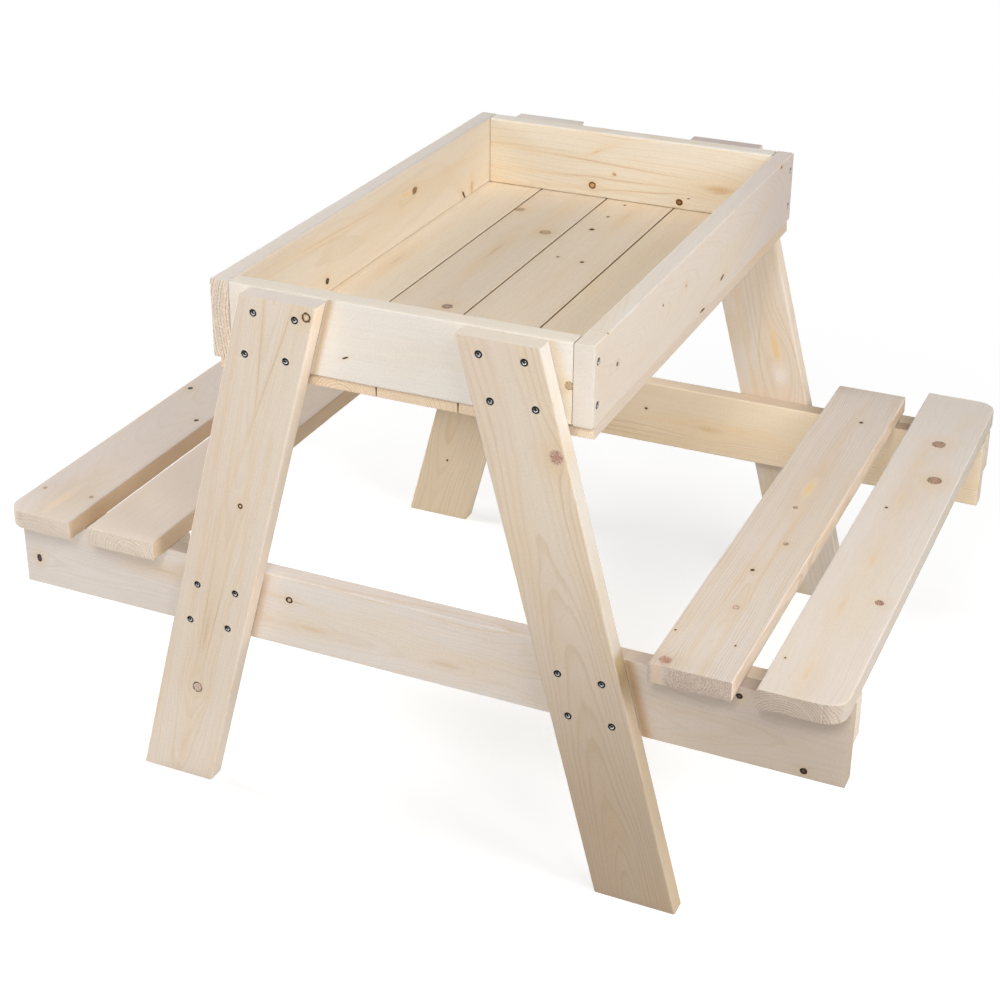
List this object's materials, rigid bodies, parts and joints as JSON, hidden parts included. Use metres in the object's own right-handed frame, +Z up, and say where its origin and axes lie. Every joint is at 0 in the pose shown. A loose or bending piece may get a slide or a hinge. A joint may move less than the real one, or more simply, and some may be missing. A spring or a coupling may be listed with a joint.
{
  "type": "picnic table with sandbox",
  "caption": "Child's wooden picnic table whose top is an open sandbox, on splayed legs with a slatted bench seat along each side.",
  "frame": {"origin": "on the ground, under the middle of the table's outline", "axes": "+X from the left seat to the right seat, +Y along the sandbox from front to back, +Z up"},
  "size_m": [0.893, 0.693, 0.5655],
  "materials": {
    "pine_box": "untreated planed pine, matt, fine growth rings and small knots",
    "pine_floor": "untreated planed pine, a little yellower",
    "pine_leg": "untreated planed pine, matt, with cathedral grain",
    "pine_rail": "untreated planed pine, matt",
    "pine_seat": "untreated planed pine, matt, with knots",
    "pine_cleat": "untreated planed pine, matt",
    "zinc_screw": "zinc-plated steel, countersunk heads with a recess"
  },
  "bodies": {
    "root": {"box_side_left": "pine_box", "box_side_right": "pine_box", "box_end_front": "pine_box", "box_end_back": "pine_box", "floor_board_1": "pine_floor", "floor_board_2": "pine_floor", "floor_board_3": "pine_floor", "floor_board_4": "pine_floor", "floor_board_5": "pine_floor", "leg_front_left": "pine_leg", "leg_front_right": "pine_leg", "leg_back_left": "pine_leg", "leg_back_right": "pine_leg", "rail_front": "pine_rail", "rail_back": "pine_rail", "seat_left_inner": "pine_seat", "seat_left_outer": "pine_seat", "seat_right_inner": "pine_seat", "seat_right_outer": "pine_seat", "cleat_front_left": "pine_cleat", "cleat_front_right": "pine_cleat", "cleat_back_left": "pine_cleat", "cleat_back_right": "pine_cleat", "leg_front_left_box_screw_1": "zinc_screw", "leg_front_left_box_screw_2": "zinc_screw", "leg_front_left_box_screw_3": "zinc_screw", "leg_front_left_box_screw_4": "zinc_screw", "leg_front_left_rail_screw_1": "zinc_screw", "leg_front_left_rail_screw_2": "zinc_screw", "leg_front_left_rail_screw_3": "zinc_screw", "leg_front_left_rail_screw_4": "zinc_screw", "leg_front_right_box_screw_1": "zinc_screw", "leg_front_right_box_screw_2": "zinc_screw", "leg_front_right_box_screw_3": "zinc_screw", "leg_front_right_box_screw_4": "zinc_screw", "leg_front_right_rail_screw_1": "zinc_screw", "leg_front_right_rail_screw_2": "zinc_screw", "leg_front_right_rail_screw_3": "zinc_screw", "leg_front_right_rail_screw_4": "zinc_screw", "leg_back_left_box_screw_1": "zinc_screw", "leg_back_left_box_screw_2": "zinc_screw", "leg_back_left_box_screw_3": "zinc_screw", "leg_back_left_box_screw_4": "zinc_screw", "leg_back_left_rail_screw_1": "zinc_screw", "leg_back_left_rail_screw_2": "zinc_screw", "leg_back_left_rail_screw_3": "zinc_screw", "leg_back_left_rail_screw_4": "zinc_screw", "leg_back_right_box_screw_1": "zinc_screw", "leg_back_right_box_screw_2": "zinc_screw", "leg_back_right_box_screw_3": "zinc_screw", "leg_back_right_box_screw_4": "zinc_screw", "leg_back_right_rail_screw_1": "zinc_screw", "leg_back_right_rail_screw_2": "zinc_screw", "leg_back_right_rail_screw_3": "zinc_screw", "leg_back_right_rail_screw_4": "zinc_screw"}
  },
  "joints": []
}
